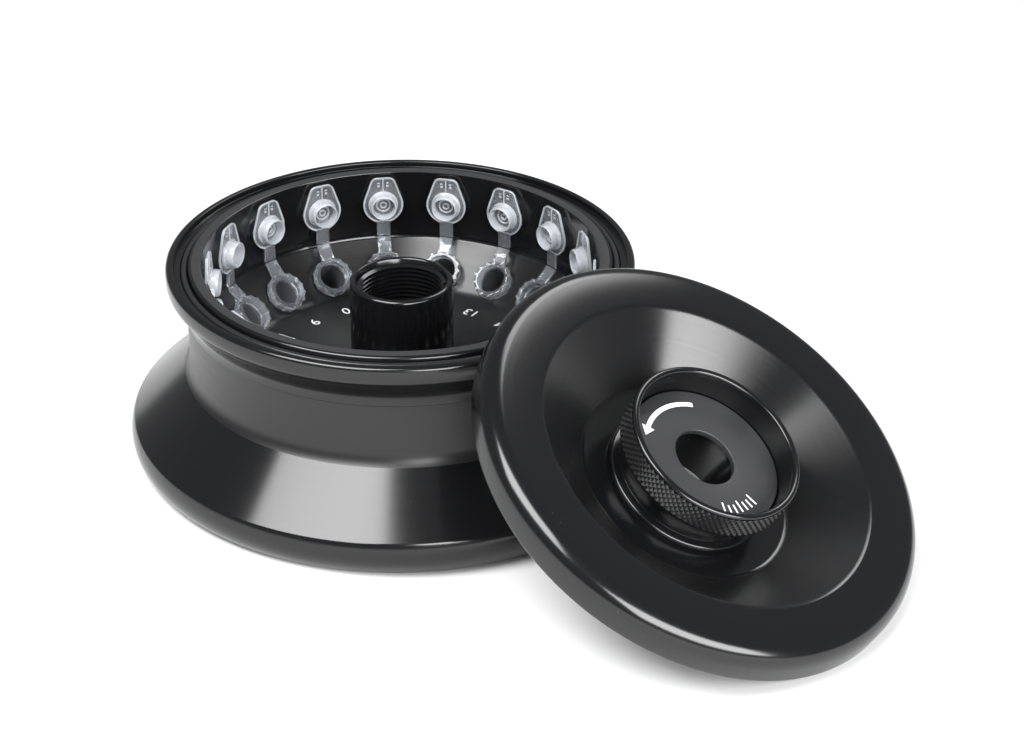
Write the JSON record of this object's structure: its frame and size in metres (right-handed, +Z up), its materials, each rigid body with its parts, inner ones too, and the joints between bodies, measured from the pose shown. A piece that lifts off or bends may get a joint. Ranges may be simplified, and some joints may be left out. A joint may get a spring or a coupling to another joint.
{
  "type": "fixed angle centrifuge rotor",
  "caption": "Fixed-angle centrifuge rotor in black anodised metal, with open flip-cap microtubes round its bowl and its knurled-knob lid leaning on the rim.",
  "frame": {"origin": "middle of the footprint of rotor and leaning lid, on the table", "axes": "+Z up along the rotor's axis; -Y is the side seen in the picture; the lid leans towards +X and -Y"},
  "size_m": [0.2426, 0.247, 0.0811],
  "materials": {
    "black_anodised": "fine turned, satin black anodised",
    "grey_anodised": "matte grey anodised",
    "steel": "ground stainless steel",
    "clip_brass": "spring bronze",
    "seal_rubber": "smooth soft rubber",
    "frosted_plastic": "translucent polypropylene",
    "slip_plastic": "plain slip washer plastic"
  },
  "bodies": {
    "rotor": {"rotor_body": "black_anodised", "hub_sleeve": "black_anodised", "rim_seal": "seal_rubber", "drive_bush": "steel", "drive_pin_1": "steel", "drive_pin_2": "steel", "id_magnet_1": "steel", "id_magnet_2": "steel", "clamp_washer": "steel"},
    "clamp_screw": {"clamp_screw": "steel", "screw_clip": "clip_brass"},
    "lid": {"lid_plate": "black_anodised", "knob_washer": "slip_plastic"},
    "knob": {"knob": "black_anodised", "knob_face": "grey_anodised", "knob_clip": "clip_brass"},
    "tube_01": {"tube_01": "frosted_plastic"},
    "cap_01": {"tube_cap_01": "frosted_plastic"},
    "tube_02": {"tube_02": "frosted_plastic"},
    "cap_02": {"tube_cap_02": "frosted_plastic"},
    "tube_03": {"tube_03": "frosted_plastic"},
    "cap_03": {"tube_cap_03": "frosted_plastic"},
    "tube_04": {"tube_04": "frosted_plastic"},
    "cap_04": {"tube_cap_04": "frosted_plastic"},
    "tube_05": {"tube_05": "frosted_plastic"},
    "cap_05": {"tube_cap_05": "frosted_plastic"},
    "tube_06": {"tube_06": "frosted_plastic"},
    "cap_06": {"tube_cap_06": "frosted_plastic"},
    "tube_07": {"tube_07": "frosted_plastic"},
    "cap_07": {"tube_cap_07": "frosted_plastic"},
    "tube_08": {"tube_08": "frosted_plastic"},
    "cap_08": {"tube_cap_08": "frosted_plastic"},
    "tube_09": {"tube_09": "frosted_plastic"},
    "cap_09": {"tube_cap_09": "frosted_plastic"},
    "tube_10": {"tube_10": "frosted_plastic"},
    "cap_10": {"tube_cap_10": "frosted_plastic"},
    "tube_11": {"tube_11": "frosted_plastic"},
    "cap_11": {"tube_cap_11": "frosted_plastic"},
    "tube_12": {"tube_12": "frosted_plastic"},
    "cap_12": {"tube_cap_12": "frosted_plastic"},
    "tube_13": {"tube_13": "frosted_plastic"},
    "cap_13": {"tube_cap_13": "frosted_plastic"},
    "tube_14": {"tube_14": "frosted_plastic"},
    "cap_14": {"tube_cap_14": "frosted_plastic"},
    "tube_15": {"tube_15": "frosted_plastic"},
    "cap_15": {"tube_cap_15": "frosted_plastic"},
    "tube_16": {"tube_16": "frosted_plastic"},
    "cap_16": {"tube_cap_16": "frosted_plastic"},
    "tube_17": {"tube_17": "frosted_plastic"},
    "cap_17": {"tube_cap_17": "frosted_plastic"},
    "tube_18": {"tube_18": "frosted_plastic"},
    "cap_18": {"tube_cap_18": "frosted_plastic"}
  },
  "joints": [
    {"name": "lid_lift", "type": "slide", "parent": "rotor", "child": "lid", "axis": [0.3978, -0.3176, 0.8607], "range_m": [0, 0.06]},
    {"name": "knob_turn", "type": "hinge", "parent": "lid", "child": "knob", "pos_m": [0.05682, -0.05679, 0.0462], "axis": [0.3978, -0.3176, 0.8607], "continuous": true},
    {"name": "clamp_screw_turn", "type": "hinge", "parent": "rotor", "child": "clamp_screw", "pos_m": [-0.03298, 0.03521, 0.03], "axis": [0, 0, 1], "continuous": true},
    {"name": "tube_01_lift", "type": "slide", "parent": "rotor", "child": "tube_01", "axis": [-0.682, -0.1866, 0.7071], "range_m": [0, 0.04]},
    {"name": "cap_01_hinge", "type": "hinge", "parent": "tube_01", "child": "cap_01", "pos_m": [0.02659, 0.05151, 0.04295], "axis": [0.2639, -0.9646, 0], "range_deg": [0, 134]},
    {"name": "tube_02_lift", "type": "slide", "parent": "rotor", "child": "tube_02", "axis": [0.5771, 0.4086, -0.7071], "range_m": [-0.04, 0]},
    {"name": "cap_02_hinge", "type": "hinge", "parent": "tube_02", "child": "cap_02", "pos_m": [0.01742, 0.0709, 0.04295], "axis": [0.5779, -0.8161, 0], "range_deg": [0, 134]},
    {"name": "tube_03_lift", "type": "slide", "parent": "rotor", "child": "tube_03", "axis": [-0.4025, -0.5813, 0.7071], "range_m": [0, 0.04]},
    {"name": "cap_03_hinge", "type": "hinge", "parent": "tube_03", "child": "cap_03", "pos_m": [0.00218, 0.08598, 0.04295], "axis": [0.8221, -0.5693, 0], "range_deg": [0, 134]},
    {"name": "tube_04_lift", "type": "slide", "parent": "rotor", "child": "tube_04", "axis": [0.1794, 0.684, -0.7071], "range_m": [-0.04, 0]},
    {"name": "cap_04_hinge", "type": "hinge", "parent": "tube_04", "child": "cap_04", "pos_m": [-0.01731, 0.09495, 0.04295], "axis": [0.9673, -0.2538, 0], "range_deg": [0, 134]},
    {"name": "tube_05_lift", "type": "slide", "parent": "rotor", "child": "tube_05", "axis": [0.0653, -0.7041, 0.7071], "range_m": [0, 0.04]},
    {"name": "cap_05_hinge", "type": "hinge", "parent": "tube_05", "child": "cap_05", "pos_m": [-0.03868, 0.0967, 0.04295], "axis": [0.9957, 0.0924, 0], "range_deg": [0, 134]},
    {"name": "tube_06_lift", "type": "slide", "parent": "rotor", "child": "tube_06", "axis": [-0.3022, 0.6393, -0.7071], "range_m": [-0.04, 0]},
    {"name": "cap_06_hinge", "type": "hinge", "parent": "tube_06", "child": "cap_06", "pos_m": [-0.05937, 0.09104, 0.04295], "axis": [0.9041, 0.4274, 0], "range_deg": [0, 134]},
    {"name": "tube_07_lift", "type": "slide", "parent": "rotor", "child": "tube_07", "axis": [0.5026, -0.4974, 0.7071], "range_m": [0, 0.04]},
    {"name": "cap_07_hinge", "type": "hinge", "parent": "tube_07", "child": "cap_07", "pos_m": [-0.07687, 0.07865, 0.04295], "axis": [0.7034, 0.7108, 0], "range_deg": [0, 134]},
    {"name": "tube_08_lift", "type": "slide", "parent": "rotor", "child": "tube_08", "axis": [-0.6424, 0.2955, -0.7071], "range_m": [-0.04, 0]},
    {"name": "cap_08_hinge", "type": "hinge", "parent": "tube_08", "child": "cap_08", "pos_m": [-0.08908, 0.06102, 0.04295], "axis": [0.4179, 0.9085, 0], "range_deg": [0, 134]},
    {"name": "tube_09_lift", "type": "slide", "parent": "rotor", "child": "tube_09", "axis": [0.7047, -0.0579, 0.7071], "range_m": [0, 0.04]},
    {"name": "cap_09_hinge", "type": "hinge", "parent": "tube_09", "child": "cap_09", "pos_m": [-0.09452, 0.04027, 0.04295], "axis": [0.0819, 0.9966, 0], "range_deg": [0, 134]},
    {"name": "tube_10_lift", "type": "slide", "parent": "rotor", "child": "tube_10", "axis": [-0.682, -0.1866, -0.7071], "range_m": [-0.04, 0]},
    {"name": "cap_10_hinge", "type": "hinge", "parent": "tube_10", "child": "cap_10", "pos_m": [-0.09254, 0.01892, 0.04295], "axis": [-0.2639, 0.9646, 0], "range_deg": [0, 134]},
    {"name": "tube_11_lift", "type": "slide", "parent": "rotor", "child": "tube_11", "axis": [0.5771, 0.4086, 0.7071], "range_m": [0, 0.04]},
    {"name": "cap_11_hinge", "type": "hinge", "parent": "tube_11", "child": "cap_11", "pos_m": [-0.08338, -0.00047, 0.04295], "axis": [-0.5779, 0.8161, 0], "range_deg": [0, 134]},
    {"name": "tube_12_lift", "type": "slide", "parent": "rotor", "child": "tube_12", "axis": [-0.4025, -0.5813, -0.7071], "range_m": [-0.04, 0]},
    {"name": "cap_12_hinge", "type": "hinge", "parent": "tube_12", "child": "cap_12", "pos_m": [-0.06813, -0.01555, 0.04295], "axis": [-0.8221, 0.5693, 0], "range_deg": [0, 134]},
    {"name": "tube_13_lift", "type": "slide", "parent": "rotor", "child": "tube_13", "axis": [0.1794, 0.684, 0.7071], "range_m": [0, 0.04]},
    {"name": "cap_13_hinge", "type": "hinge", "parent": "tube_13", "child": "cap_13", "pos_m": [-0.04865, -0.02452, 0.04295], "axis": [-0.9673, 0.2538, 0], "range_deg": [0, 134]},
    {"name": "tube_14_lift", "type": "slide", "parent": "rotor", "child": "tube_14", "axis": [0.0653, -0.7041, -0.7071], "range_m": [-0.04, 0]},
    {"name": "cap_14_hinge", "type": "hinge", "parent": "tube_14", "child": "cap_14", "pos_m": [-0.02727, -0.02627, 0.04295], "axis": [-0.9957, -0.0924, 0], "range_deg": [0, 134]},
    {"name": "tube_15_lift", "type": "slide", "parent": "rotor", "child": "tube_15", "axis": [-0.3022, 0.6393, 0.7071], "range_m": [0, 0.04]},
    {"name": "cap_15_hinge", "type": "hinge", "parent": "tube_15", "child": "cap_15", "pos_m": [-0.00659, -0.02062, 0.04295], "axis": [-0.9041, -0.4274, 0], "range_deg": [0, 134]},
    {"name": "tube_16_lift", "type": "slide", "parent": "rotor", "child": "tube_16", "axis": [0.5026, -0.4974, -0.7071], "range_m": [-0.04, 0]},
    {"name": "cap_16_hinge", "type": "hinge", "parent": "tube_16", "child": "cap_16", "pos_m": [0.01091, -0.00822, 0.04295], "axis": [-0.7034, -0.7108, 0], "range_deg": [0, 134]},
    {"name": "tube_17_lift", "type": "slide", "parent": "rotor", "child": "tube_17", "axis": [-0.6424, 0.2955, 0.7071], "range_m": [0, 0.04]},
    {"name": "cap_17_hinge", "type": "hinge", "parent": "tube_17", "child": "cap_17", "pos_m": [0.02312, 0.00941, 0.04295], "axis": [-0.4179, -0.9085, 0], "range_deg": [0, 134]},
    {"name": "tube_18_lift", "type": "slide", "parent": "rotor", "child": "tube_18", "axis": [0.7047, -0.0579, -0.7071], "range_m": [-0.04, 0]},
    {"name": "cap_18_hinge", "type": "hinge", "parent": "tube_18", "child": "cap_18", "pos_m": [0.02857, 0.03015, 0.04295], "axis": [-0.0819, -0.9966, 0], "range_deg": [0, 134]}
  ]
}
